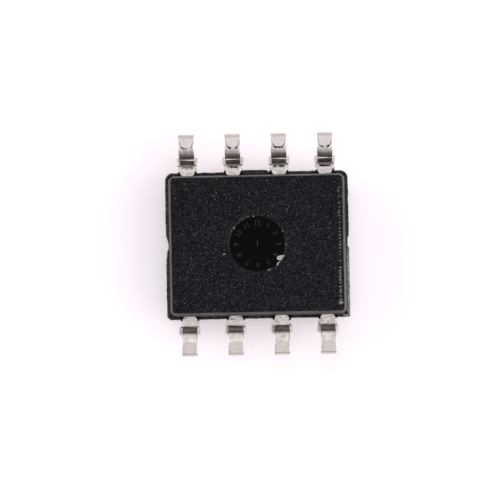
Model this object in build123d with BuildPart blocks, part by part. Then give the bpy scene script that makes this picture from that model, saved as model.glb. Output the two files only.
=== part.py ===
"""Eight-lead small-outline microcontroller package, in millimetres.

The package lies on its marked face, as it does when it is turned over on a bench: +Z points out
of its underside, X runs along the two rows of leads and Y across them. The origin is the middle
of the marked face. Leads 1 to 4 run along the +Y side and 5 to 8 come back along the -Y side,
which is clockwise seen from +Z.

Inside the moulded body a stamped copper frame carries the chip: a sunken paddle held by two tie
bars, and eight leads whose inner fingers stop short of it. The chip is glued to the paddle, face
towards the marked side, and a gold wire runs from it to each finger.
"""

from build123d import *
from math import radians, tan
import os

# ---- driving dimensions -------------------------------------------------------------------

# Leads
leads_per_side = 4
lead_pitch = 1.27
lead_width = 0.42
lead_thickness = 0.20
lead_reach = 1.10  # wall of the body to the toe
lead_plane_height = 0.625  # marked face to the near surface of the leadframe
shoulder_length = 0.22  # straight part outside the wall
shoulder_inner_radius = 0.10
heel_inner_radius = 0.10
riser_lean = 12.0  # degrees from upright
toe_slope = 14.0  # degrees off square, where the foot was sheared
standoff = 0.15  # underside of the body to the solder faces

# Stubs of the dam bar, punched off beside each lead
dam_start = 0.20  # from the wall
dam_width = 0.54  # the lead and both stubs
dam_run_on = 0.02  # past the end of the shoulder bend

# Moulded body, measured where its two halves meet
end_margin = 0.545  # middle of the last lead to the end of the body
body_width = 3.90
body_height = 1.45
draft_angle = 8.0
corner_radius = 0.18
edge_radius = 0.035
bevel = 0.33  # along the marked edge, beside leads 1 to 4

# Flash round the parting line, as thick as the leadframe
flash_width = 0.085
flash_corner_radius = 0.17
notch_clearance = 0.01  # either side of a tie bar's cut end
gusset_width = 0.12  # resin against each side of a lead, at the wall
gusset_reach = 0.17
gusset_angle = 62.0

# Mould marks
ejector_mark_diameter = 1.57
ejector_mark_depth = 0.035
index_dimple_diameter = 0.50
index_dimple_depth = 0.04
index_dimple_inset = 0.45  # its middle, from the end wall and from the bevel

# Leadframe inside the body
metal_gap = 0.20
finger_depth = 0.60  # wall to the tip of an inner lead
finger_tip_width = 0.84
finger_tip_length = 0.30
outer_pad_width = 0.62
outer_pad_inset = 0.35  # from the wall
outer_pad_end = 0.55  # from the middle line
lock_hole_diameter = 0.24
paddle_downset = 0.20
tie_bar_width = 0.25
tie_bar_ramp = 0.20
tie_bar_bend_radius = 0.15

# Chip and glue
chip_length = 1.70
chip_width = 1.50
chip_thickness = 0.28
glue_thickness = 0.025
glue_overhang = 0.04

# Bond wires
wire_diameter = 0.030
ball_diameter = 0.080
ball_height = 0.020
bond_pad_inset = 0.09  # from the chip's edge
loop_height = 0.16
loop_flat_length = 0.30
stitch_length = 0.11
stitch_width = 0.065
stitch_thickness = 0.016
stitch_inset = 0.13  # from the finger's edge
tail_clearance = 0.004  # wire above the finger, inside its stitch

# ---- worked out from them -----------------------------------------------------------------

row = [(i - (leads_per_side - 1) / 2) * lead_pitch for i in range(leads_per_side)]
row_end = row[-1]
body_length = 2 * (row_end + end_margin)
wall = body_width / 2
toe = wall + lead_reach
board_plane = body_height + standoff

lead_top = lead_plane_height + lead_thickness
lead_middle = lead_plane_height + lead_thickness / 2
foot_middle = board_plane - lead_thickness / 2
shoulder_radius = shoulder_inner_radius + lead_thickness / 2
heel_radius = heel_inner_radius + lead_thickness / 2
shoulder_turn = 90 - riser_lean
shoulder_corner = wall + shoulder_length + shoulder_radius * tan(radians(shoulder_turn / 2))
heel_corner = shoulder_corner + (foot_middle - lead_middle) * tan(radians(riser_lean))

finger_tip = wall - finger_depth
outer_pad_start = wall - outer_pad_inset
outer_pad_far = row_end + lead_width / 2
outer_pad_near = outer_pad_far - outer_pad_width

paddle_half_length = outer_pad_near - metal_gap
paddle_half_width = finger_tip - metal_gap
paddle_height = lead_plane_height + paddle_downset
paddle_middle = paddle_height + lead_thickness / 2
chip_back = paddle_height - glue_thickness
chip_face = chip_back - chip_thickness

marked_draft = lead_plane_height * tan(radians(draft_angle))
marked_wall = wall - marked_draft
marked_end = body_length / 2 - marked_draft

# The two sides of the package: each plane has its own +Y pointing out over its row of leads.
FAR_SIDE = Plane.XY
NEAR_SIDE = Plane(origin=(0, 0, 0), x_dir=(-1, 0, 0), z_dir=(0, 0, 1))


def across(side, x):
    """The upright plane through x that looks along the package: outwards is +x, up is +y."""
    return Plane(origin=(0, 0, 0), x_dir=side.y_dir, z_dir=side.x_dir).offset(x)


def is_outer(x):
    """Whether the lead at x is the first or last of its row."""
    return abs(x) > row_end - lead_pitch / 2


# ---- leads --------------------------------------------------------------------------------


def make_lead(number, side, x):
    """One stamped and formed lead, from its finger inside the body to its toe."""
    strip_start = outer_pad_start if is_outer(x) else finger_tip
    toe_undercut = lead_thickness * tan(radians(toe_slope))
    with BuildPart() as lead:
        # The strip: out of the body, down the riser and along the foot
        with BuildSketch(across(side, x)):
            with BuildLine():
                FilletPolyline(
                    (strip_start, lead_middle),
                    (shoulder_corner, lead_middle),
                    (heel_corner, foot_middle),
                    (toe, foot_middle),
                    radius=[shoulder_radius, heel_radius],
                )
            trace(line_width=lead_thickness)
            with BuildLine():
                Polyline(
                    (toe, board_plane - lead_thickness),
                    (toe, board_plane),
                    (toe - toe_undercut, board_plane),
                    close=True,
                )
            make_face(mode=Mode.SUBTRACT)
        extrude(amount=lead_width / 2, both=True)

        # The dam bar's stubs, round the shoulder bend
        with BuildSketch(across(side, x)):
            with BuildLine():
                flat = Line((wall + dam_start, lead_middle), (wall + shoulder_length, lead_middle))
                bend = JernArc(flat @ 1, flat % 1, shoulder_radius, shoulder_turn)
                Line(bend @ 1, bend @ 1 + dam_run_on * (bend % 1))
            trace(line_width=lead_thickness)
        extrude(amount=dam_width / 2, both=True)

        # The hidden end: a pad beside the paddle for an outer lead, a T for an inner one
        with BuildSketch(side.offset(lead_plane_height)):
            if is_outer(x):
                outwards = 1 if x > 0 else -1
                pad_middle = (
                    outwards * (outer_pad_near + outer_pad_far) / 2,
                    (outer_pad_start + outer_pad_end) / 2,
                )
                with Locations(pad_middle):
                    Rectangle(outer_pad_width, outer_pad_start - outer_pad_end)
                    Circle(lock_hole_diameter / 2, mode=Mode.SUBTRACT)
            else:
                with Locations((x, finger_tip)):
                    Rectangle(
                        finger_tip_width, finger_tip_length, align=(Align.CENTER, Align.MIN)
                    )
        extrude(amount=lead_thickness)
    lead.part.label = f"lead_{number}"
    return lead.part


leads = []
for side, first_number in ((FAR_SIDE, 1), (NEAR_SIDE, leads_per_side + 1)):
    for number, x in enumerate(row, start=first_number):
        leads.append(make_lead(number, side, x))

# ---- paddle, glue and chip ----------------------------------------------------------------

with BuildPart() as die_paddle:
    with BuildSketch(Plane.XY.offset(paddle_height)):
        Rectangle(2 * paddle_half_length, 2 * paddle_half_width)
    extrude(amount=lead_thickness)
    # Tie bars, which climb back to the leadframe's own level and end in the body's end walls
    with BuildSketch(Plane.XZ):
        with BuildLine():
            ramp_start = paddle_half_length + tie_bar_bend_radius
            FilletPolyline(
                (paddle_half_length, paddle_middle),
                (ramp_start, paddle_middle),
                (ramp_start + tie_bar_ramp, lead_middle),
                (body_length / 2, lead_middle),
                radius=tie_bar_bend_radius,
            )
        trace(line_width=lead_thickness)
        mirror(about=Plane.YZ)
    extrude(amount=tie_bar_width / 2, both=True)
die_paddle.part.label = "die_paddle"

with BuildPart() as die_attach:
    with BuildSketch(Plane.XY.offset(chip_back)):
        RectangleRounded(
            chip_length + 2 * glue_overhang, chip_width + 2 * glue_overhang, glue_overhang
        )
    extrude(amount=glue_thickness)
die_attach.part.label = "die_attach"

with BuildPart() as silicon_die:
    with BuildSketch(Plane.XY.offset(chip_face)):
        Rectangle(chip_length, chip_width)
    extrude(amount=chip_thickness)
silicon_die.part.label = "silicon_die"

# ---- bond wires ---------------------------------------------------------------------------


def wire_ends(x):
    """Where the wire for the lead at x leaves the chip and lands on the finger, in plan."""
    if is_outer(x):
        outwards = 1 if x > 0 else -1
        pad = (outwards * (chip_length / 2 - bond_pad_inset), chip_width / 4)
        landing = (outwards * (outer_pad_near + stitch_inset), outer_pad_end + stitch_inset)
    else:
        pad = (x / row_end * (chip_length / 2 - bond_pad_inset), chip_width / 2 - bond_pad_inset)
        landing = (x, finger_tip + stitch_inset)
    return pad, landing


def make_wire(number, side, x):
    """A gold wire with its ball on the chip and its stitch on the lead's finger."""
    pad, landing = wire_ends(x)
    ball_point = side.from_local_coords(Vector(*pad, chip_face))
    stitch_point = side.from_local_coords(Vector(*landing, lead_plane_height))
    level_run = Vector(stitch_point.X - ball_point.X, stitch_point.Y - ball_point.Y, 0)
    span = level_run.length
    away_from_board = Vector(0, 0, -1)
    loop_plane = Plane(ball_point, x_dir=level_run, z_dir=level_run.cross(away_from_board))
    tail_level = chip_face - lead_plane_height + tail_clearance + wire_diameter / 2
    with BuildPart() as wire:
        with BuildLine(loop_plane) as loop:
            FilletPolyline(
                (0, ball_height / 2),
                (0, loop_height),
                (loop_flat_length, loop_height),
                (span - stitch_length / 2, tail_level),
                (span, tail_level),
                radius=[2 * wire_diameter, 3 * wire_diameter, 1.5 * wire_diameter],
            )
        with BuildSketch(Plane(loop.line @ 0, z_dir=loop.line % 0)):
            Circle(wire_diameter / 2)
        sweep(path=loop.line)
        with BuildSketch(Plane(ball_point, x_dir=level_run, z_dir=away_from_board)):
            Circle(ball_diameter / 2)
        extrude(amount=ball_height)
        with BuildSketch(Plane(stitch_point, x_dir=level_run, z_dir=away_from_board)):
            Ellipse(stitch_length / 2, stitch_width / 2)
        extrude(amount=stitch_thickness)
    wire.part.label = f"bond_wire_{number}"
    return wire.part


wires = []
for side, first_number in ((FAR_SIDE, 1), (NEAR_SIDE, leads_per_side + 1)):
    for number, x in enumerate(row, start=first_number):
        wires.append(make_wire(number, side, x))

# ---- moulded body -------------------------------------------------------------------------

with BuildPart() as mould_body:
    # The two halves, each drawn in by the draft from where they meet the leadframe
    for parting_face, direction, half_height in (
        (lead_plane_height, -1, lead_plane_height),
        (lead_top, 1, body_height - lead_top),
    ):
        with BuildSketch(Plane.XY.offset(parting_face)):
            RectangleRounded(body_length, body_width, corner_radius)
        extrude(amount=direction * half_height, taper=draft_angle)
    fillet(mould_body.edges().group_by(Axis.Z)[-1], radius=edge_radius)

    # The bevel along the marked edge
    with BuildSketch(across(FAR_SIDE, 0)):
        with BuildLine():
            Polyline(
                (marked_wall - bevel, 0),
                (marked_wall - bevel + lead_plane_height, 0),
                (marked_wall - bevel + lead_plane_height, lead_plane_height),
                close=True,
            )
        make_face()
    extrude(amount=body_length / 2, both=True, mode=Mode.SUBTRACT)

    # Flash, resin against the leads and a notch at each tie bar, between the two halves
    with BuildSketch(Plane.XY.offset(lead_plane_height)):
        with Locations(*[(x, wall) for x in row]):
            Trapezoid(
                lead_width + 2 * gusset_width,
                gusset_reach,
                gusset_angle,
                align=(Align.CENTER, Align.MIN),
            )
        mirror(about=Plane.XZ)
        RectangleRounded(
            body_length + 2 * flash_width, body_width + 2 * flash_width, flash_corner_radius
        )
        with GridLocations(body_length + flash_width, 0, 2, 1):
            Rectangle(flash_width, tie_bar_width + 2 * notch_clearance, mode=Mode.SUBTRACT)
    extrude(amount=lead_thickness)

    # The ejector pin's mark on the underside, and the index dimple beside lead 1
    with BuildSketch(Plane.XY.offset(body_height)):
        Circle(ejector_mark_diameter / 2)
    extrude(amount=-ejector_mark_depth, mode=Mode.SUBTRACT)
    with BuildSketch(Plane.XY):
        with Locations(
            (index_dimple_inset - marked_end, marked_wall - bevel - index_dimple_inset)
        ):
            Circle(index_dimple_diameter / 2)
    extrude(amount=index_dimple_depth, mode=Mode.SUBTRACT)

    # The resin flows round everything inside it
    add([*leads, die_paddle.part, die_attach.part, silicon_die.part, *wires], mode=Mode.SUBTRACT)
mould_body.part.label = "mould_body"

# ---- files --------------------------------------------------------------------------------

os.makedirs("parts", exist_ok=True)
for piece in [mould_body.part, *leads, die_paddle.part, die_attach.part, silicon_die.part, *wires]:
    export_step(piece, f"parts/{piece.label}.step")
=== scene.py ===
"""Eight-lead small-outline microcontroller package: its visible surfaces, and the stage it lies on.

The package lies on its marked face, so its underside looks up. Every length is in metres, in the
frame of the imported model, and every place is worked out from that model's boxes. The moulded body
and the leads get surfaces of their own; the paddle, glue, chip and wires inside keep the model's
shapes and get finishes.
"""

from math import atan2, cos, exp, pi, radians, sin, tan

import bmesh
import bpy
from bpy.props import FloatProperty, FloatVectorProperty, PointerProperty
from mathutils import Matrix, Vector, noise


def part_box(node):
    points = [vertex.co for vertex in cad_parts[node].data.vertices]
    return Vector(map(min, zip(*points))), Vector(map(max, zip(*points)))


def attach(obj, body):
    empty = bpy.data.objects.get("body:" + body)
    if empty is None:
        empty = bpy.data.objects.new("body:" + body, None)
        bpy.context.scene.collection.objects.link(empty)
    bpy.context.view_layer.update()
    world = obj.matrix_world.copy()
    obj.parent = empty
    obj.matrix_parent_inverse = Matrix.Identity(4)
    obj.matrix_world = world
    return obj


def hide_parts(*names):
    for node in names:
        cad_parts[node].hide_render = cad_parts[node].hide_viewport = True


bl_info = {
    "name": "Small-outline package",
    "version": (1, 0, 0),
    "blender": (4, 5, 0),
    "location": "3D View > Sidebar > Package",
    "description": "Builds the moulded body, leads and finishes of an eight-lead chip package",
    "category": "Add Mesh",
}

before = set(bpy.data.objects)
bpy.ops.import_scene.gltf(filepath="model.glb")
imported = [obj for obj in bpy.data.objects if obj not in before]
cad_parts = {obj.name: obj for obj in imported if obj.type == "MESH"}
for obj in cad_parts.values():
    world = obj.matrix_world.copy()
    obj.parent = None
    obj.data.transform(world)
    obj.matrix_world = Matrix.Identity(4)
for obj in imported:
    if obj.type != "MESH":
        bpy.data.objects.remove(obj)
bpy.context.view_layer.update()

MM = 0.001

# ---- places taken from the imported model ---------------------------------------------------

BODY_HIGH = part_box("mould_body")[1]
LEAD_LOW, LEAD_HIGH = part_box("lead_2")
NEXT_LOW, NEXT_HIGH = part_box("lead_3")
PAD_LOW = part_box("lead_1")[0]
PADDLE_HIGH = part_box("die_paddle")[1]

LEADS_PER_SIDE = 4
PITCH = (NEXT_LOW[0] + NEXT_HIGH[0] - LEAD_LOW[0] - LEAD_HIGH[0]) / 2
GUSSET_REACH = 0.17 * MM
FINGER_END = LEAD_LOW[1]
PAD_END = PAD_LOW[1]
TOE = LEAD_HIGH[1]
LEAD_BOTTOM = LEAD_LOW[2]
BOARD_PLANE = LEAD_HIGH[2]
HALF_LENGTH = PADDLE_HIGH[0]
HALF_WIDTH = BODY_HIGH[1] - GUSSET_REACH
UNDERSIDE = BODY_HIGH[2]
FLASH_WIDTH = BODY_HIGH[0] - HALF_LENGTH

# ---- settings -----------------------------------------------------------------------------


def linear(hex_code):
    """An sRGB hex colour as linear red, green and blue."""
    channels = [int(hex_code[i : i + 2], 16) / 255 for i in (0, 2, 4)]
    return [c / 12.92 if c <= 0.04045 else ((c + 0.055) / 1.055) ** 2.4 for c in channels]


def length(name, description, default):
    """A setting in metres."""
    return FloatProperty(
        name=name, description=description, default=default, unit="LENGTH", precision=6
    )


def angle(name, description, degrees):
    """A setting shown in degrees."""
    return FloatProperty(
        name=name, description=description, default=radians(degrees), subtype="ANGLE"
    )


def colour(name, description, hex_code):
    """A colour setting."""
    return FloatVectorProperty(
        name=name, description=description, default=linear(hex_code), subtype="COLOR", size=3
    )


class BodySettings(bpy.types.PropertyGroup):
    draft: angle("Draft", "Lean of the mould's walls", 8)
    corner_radius: length("Corner radius", "Corners in plan, at the parting line", 0.18 * MM)
    edge_radius: length("Edge radius", "Round on the edges of both faces", 0.035 * MM)
    bevel: length("Bevel", "Bevel along the marked edge beside leads 1 to 4", 0.33 * MM)
    mark_radius: length("Ejector mark", "Radius of the ejector pin's mark", 0.785 * MM)
    mark_depth: length("Mark depth", "Depth of the ejector pin's mark", 0.035 * MM)
    dimple_radius: length("Dimple", "Radius of the index dimple", 0.25 * MM)
    dimple_depth: length("Dimple depth", "Depth of the index dimple", 0.04 * MM)
    grain: length("Grain", "Relief of the spark-eroded mould", 0.004 * MM)
    cell: length("Mesh spacing", "Distance between points of the surface", 0.0315 * MM)
    resin: colour("Resin", "Colour of the moulding compound", "141418")
    filler: colour("Filler", "Colour of the silica grains that show", "7d7c82")


class LeadSettings(bpy.types.PropertyGroup):
    width: length("Width", "Width of a lead's foot", 0.43 * MM)
    thickness: length("Thickness", "Thickness of the strip", 0.20 * MM)
    shoulder: length("Shoulder", "Straight part outside the wall", 0.25 * MM)
    bend_radius: length("Shoulder radius", "Middle line of the bend at the shoulder", 0.15 * MM)
    heel_radius: length("Heel radius", "Middle line of the bend at the heel", 0.25 * MM)
    lean: angle("Lean", "Riser's lean from upright", 12)
    shear: angle("Shear", "Slope of the sheared toe", 14)
    dam_width: length("Dam width", "Width across the dam bar's stubs", 0.54 * MM)
    finger_width: length("Finger width", "Width of a hidden T", 0.84 * MM)
    finger_length: length("Finger length", "Length of a hidden T", 0.30 * MM)
    pad_width: length("Pad width", "Width of a hidden pad", 0.62 * MM)
    pad_start: length("Pad start", "Wall to the pad", 0.35 * MM)
    cell: length("Mesh spacing", "Distance between points of the surface", 0.014 * MM)
    tin: colour("Tin", "Colour of the plating", "f6ece9")
    # Also the colour of the painted shade on the leads' risers and creases
    stain_and_shade_colour: colour("Stain", "Colour of the plating where tools pressed it", "1f1a19")


class StageSettings(bpy.types.PropertyGroup):
    distance: length("Distance", "Camera to the package", 100 * MM)
    lens: FloatProperty(name="Lens", description="Focal length", default=262, unit="CAMERA")
    tilt: angle("Tilt", "Camera's lean from straight above, towards -Y", 2.4)
    sideways: angle("Sideways", "Camera's lean towards +X", 0.4)
    roll: angle("Roll", "Turn of the picture", 1.1)
    light: FloatProperty(name="Light", description="Strength of the soft boxes", default=1.0)
    fill: FloatProperty(name="Fill", description="Light from the room itself", default=0.05)
    glow: FloatProperty(
        name="Paper glow", description="What lifts the sheet to white", default=0.345
    )
    paper: colour("Paper", "Colour of the sheet underneath", "faf2f8")


class PackageSettings(bpy.types.PropertyGroup):
    body: PointerProperty(type=BodySettings)
    leads: PointerProperty(type=LeadSettings)
    stage: PointerProperty(type=StageSettings)


# ---- surfaces -----------------------------------------------------------------------------


class Shell:
    """A surface that grows loop by loop, each loop joined to the next by four-sided faces."""

    def __init__(self):
        self.points = []
        self.faces = []

    def loop(self, points):
        start = len(self.points)
        self.points.extend(Vector(p) for p in points)
        return list(range(start, len(self.points)))

    def bridge(self, first, second):
        for i in range(len(first)):
            j = (i + 1) % len(first)
            self.faces.append((first[i], first[j], second[j], second[i]))

    def skin(self, start, loops):
        """Joins the loops one after another, from the loop of indices `start`."""
        for points in loops:
            end = self.loop(points)
            self.bridge(start, end)
            start = end
        return start

    def grid(self, loop, columns, rows):
        """Fills a loop of 2 * (columns + rows) points with a net that follows all four sides."""
        south = loop[: columns + 1]
        east = loop[columns : columns + rows + 1]
        north = loop[columns + rows : 2 * columns + rows + 1][::-1]
        west = (loop[2 * columns + rows :] + loop[:1])[::-1]
        place = self.points
        net = [south]
        for row in range(1, rows):
            v = row / rows
            line = [west[row]]
            for column in range(1, columns):
                u = column / columns
                between = (
                    place[south[column]] * (1 - v)
                    + place[north[column]] * v
                    + place[west[row]] * (1 - u)
                    + place[east[row]] * u
                )
                corners = (
                    place[south[0]] * (1 - u) * (1 - v)
                    + place[south[-1]] * u * (1 - v)
                    + place[north[0]] * (1 - u) * v
                    + place[north[-1]] * u * v
                )
                line += self.loop([between - corners])
            net.append(line + [east[row]])
        net.append(north)
        return net

    def fill(self, net, hole=None):
        """Faces the net, apart from a block of it given as (columns, rows) ranges."""
        for row in range(len(net) - 1):
            for column in range(len(net[0]) - 1):
                if hole and column in hole[0] and row in hole[1]:
                    continue
                self.faces.append(
                    (
                        net[row][column],
                        net[row][column + 1],
                        net[row + 1][column + 1],
                        net[row + 1][column],
                    )
                )

    def cap(self, loop, columns, rows):
        self.fill(self.grid(loop, columns, rows))

    def mesh(self, name):
        mesh = bpy.data.meshes.new(name)
        mesh.from_pydata(self.points, [], self.faces)
        work = bmesh.new()
        work.from_mesh(mesh)
        bmesh.ops.recalc_face_normals(work, faces=work.faces)
        work.to_mesh(mesh)
        work.free()
        return mesh


def outline(half, radii, steps, crowd=0.0):
    """Points round a rectangle, from the middle of its first corner's arc. `half` is its half
    sizes, `radii` its corners from lower left round, `steps` the points along each pair of sides,
    and `crowd`, from 0 to 1, draws them towards the corners."""
    points = []
    for side in range(4):
        along, away = (half[0], half[1]) if side % 2 == 0 else (half[1], half[0])
        start, end = radii[side], radii[(side + 1) % 4]
        straight = 2 * along - start - end
        total = (start + end) * pi / 4 + straight
        count = steps[side % 2]
        turn = Matrix.Rotation(side * pi / 2, 2)
        for i in range(count):
            share = i / count
            s = total * (share - crowd * sin(2 * pi * share) / (2 * pi))
            if s < start * pi / 4:
                bend = radians(225) + s / start
                corner = (-along + start, -away + start)
                point = (corner[0] + start * cos(bend), corner[1] + start * sin(bend))
            elif s <= start * pi / 4 + straight:
                point = (-along + start + s - start * pi / 4, -away)
            else:
                bend = radians(270) + (s - start * pi / 4 - straight) / end
                corner = (along - end, -away + end)
                point = (corner[0] + end * cos(bend), corner[1] + end * sin(bend))
            points.append(turn @ Vector(point))
    return points


def rough(point, size, seed=0.0):
    """Smooth random value from -1 to 1 that changes over `size` metres."""
    return noise.noise(Vector((point[0] / size + seed, point[1] / size - seed, point[2] / size)))


def smooth_step(value, low, high):
    share = min(max((value - low) / (high - low), 0.0), 1.0)
    return share * share * (3 - 2 * share)


def hump(value, width):
    """1 at zero, falling smoothly to nothing over about two widths."""
    return exp(-((value / width) ** 2))


def add_piece(name, mesh, material, sharp=35):
    """Puts a mesh in the scene as a piece of the package."""
    mesh.shade_smooth()
    mesh.set_sharp_from_angle(angle=radians(sharp))
    mesh.materials.append(material)
    piece = bpy.data.objects.new(name, mesh)
    bpy.context.scene.collection.objects.link(piece)
    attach(piece, "root")
    return piece


def point_values(mesh, name, values):
    """Stores one number for each point, for the material to read."""
    mesh.attributes.new(name, "FLOAT", "POINT").data.foreach_set("value", values)


def point_places(mesh, name, places):
    """Stores one place for each point, for the material to read."""
    flat = [number for place in places for number in place]
    mesh.attributes.new(name, "FLOAT_VECTOR", "POINT").data.foreach_set("vector", flat)


# ---- materials ----------------------------------------------------------------------------


def per(size):
    """Scale of a pattern whose cells are `size` metres."""
    return 1 / size


def new_material(name):
    material = bpy.data.materials.new(name)
    material.use_nodes = True
    material.node_tree.nodes.clear()
    return material, material.node_tree


def add_node(tree, kind, inputs=(), output=0, **settings):
    """Adds a node with its own settings, sets or links its inputs, and gives one of its outputs.

    Inputs are a list, in the order of the node's sockets, or a dict by their names or numbers.
    """
    node = tree.nodes.new(f"ShaderNode{kind}")
    for name, value in settings.items():
        setattr(node, name, value)
    for key, value in inputs.items() if isinstance(inputs, dict) else enumerate(inputs):
        if isinstance(value, bpy.types.NodeSocket):
            tree.links.new(value, node.inputs[key])
        else:
            node.inputs[key].default_value = value
    return node.outputs[output] if node.outputs else None


def opaque(rgb, factor=1.0):
    """A colour for a socket, made darker or lighter by a factor."""
    return (*[factor * channel for channel in rgb], 1.0)


# What makes a Mix node mix colours: its inputs are then 0, the share, and 6 and 7, the colours
COLOURS = {"output": 2, "data_type": "RGBA"}


def moulded_epoxy(settings):
    """Epoxy moulding compound, silica filled, moulded against a spark-eroded steel tool.

    It looks matt and almost black, with a fine stipple, pale grains of filler that lie at the
    surface, paler where it broke, with a painted highlight on the ejector mark's lip and painted
    light on the drafted walls, and smooth where the polished ejector pin pressed.
    """
    material, tree = new_material("moulded_epoxy")
    place = add_node(tree, "TexCoord", output="Object")
    polish = add_node(tree, "Attribute", output="Fac", attribute_name="polish")
    pale = add_node(tree, "Attribute", output="Fac", attribute_name="pale")
    rough_part = add_node(tree, "MapRange", [polish, 0, 1, 1, 0])
    # Spark erosion leaves pits of about 0.02 mm, here twice as wide so that they show
    stipple = add_node(tree, "TexNoise", {
        "Vector": place, "Scale": per(0.04 * MM), "Detail": 3.0, "Roughness": 0.8
    }, output="Fac")
    # Filler grains are up to 0.05 mm across; only those that break the skin show
    grains = add_node(tree, "TexVoronoi", {"Vector": place, "Scale": per(0.052 * MM)})
    chance = add_node(tree, "SeparateColor", {"Color": grains.node.outputs["Color"]}, output="Red")
    grain_size = add_node(tree, "MapRange", [chance, 0.58, 1.0, 0.0, 0.36])
    grain = add_node(
        tree, "Math", {0: grain_size, 1: grains.node.outputs["Distance"]}, operation="SUBTRACT"
    )
    speck = add_node(tree, "Math", {
        0: add_node(tree, "MapRange", [grain, 0.0, 0.2, 0.0, 0.8]), 1: rough_part
    }, operation="MULTIPLY")
    resin = opaque(settings.resin)
    dark = opaque(settings.resin, 0.10)
    light = opaque(settings.resin, 6.5)
    base = add_node(tree, "Mix", {
        0: add_node(tree, "MapRange", [stipple, 0.4, 0.5]), 6: dark, 7: resin
    }, **COLOURS)
    base = add_node(tree, "Mix", {
        0: add_node(tree, "MapRange", [stipple, 0.5, 0.66]), 6: base, 7: light
    }, **COLOURS)
    base = add_node(
        tree, "Mix", {0: polish, 6: base, 7: (0.004, 0.004, 0.005, 1)}, output=2, data_type="RGBA"
    )
    base = add_node(
        tree, "Mix", {0: speck, 6: base, 7: opaque(settings.filler)}, output=2, data_type="RGBA"
    )
    # Pale share: breaks and tool marks, with a painted highlight on the ejector mark's lip and painted
    # light on the drafted walls
    broken = add_node(tree, "Math", {
        0: pale, 1: add_node(tree, "MapRange", [stipple, 0.38, 0.6, 0.1, 1.0])
    }, operation="MULTIPLY")
    base = add_node(
        tree, "Mix", {0: broken, 6: base, 7: opaque(linear("cdc6c3"))}, output=2, data_type="RGBA"
    )
    bump = add_node(tree, "Bump", {
        "Height": stipple,
        "Strength": add_node(tree, "MapRange", [polish, 0, 1, 0.6, 0.0]),
        "Distance": 0.012 * MM,
    }, output="Normal")
    shader = add_node(tree, "BsdfPrincipled", {
        "Base Color": base,
        "Roughness": add_node(tree, "MapRange", [polish, 0, 1, 0.5, 0.12]),
        "IOR": 1.55,
        "Specular IOR Level": 0.055,
        "Sheen Weight": 0.16,
        "Sheen Roughness": 0.35,
        "Normal": bump,
    })
    add_node(tree, "OutputMaterial", [shader])
    return material


def polished_epoxy():
    """The same compound where it filled the figures cut in the ejector pin's polished face.

    It looks black and glossy, and shows only by its edges.
    """
    material, tree = new_material("polished_epoxy")
    place = add_node(tree, "TexCoord", output="Object")
    cloud = add_node(
        tree, "TexNoise", {"Vector": place, "Scale": per(0.03 * MM), "Detail": 2.0}, output="Fac"
    )
    base = add_node(tree, "Mix", {
        0: cloud, 6: opaque(linear("141417")), 7: opaque(linear("29292d"))
    }, **COLOURS)
    shader = add_node(tree, "BsdfPrincipled", {
        "Base Color": base,
        "Roughness": add_node(tree, "MapRange", [cloud, 0.3, 0.7, 0.18, 0.34]),
        "IOR": 1.55,
        "Specular IOR Level": 0.3,
    })
    add_node(tree, "OutputMaterial", [shader])
    return material


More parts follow.
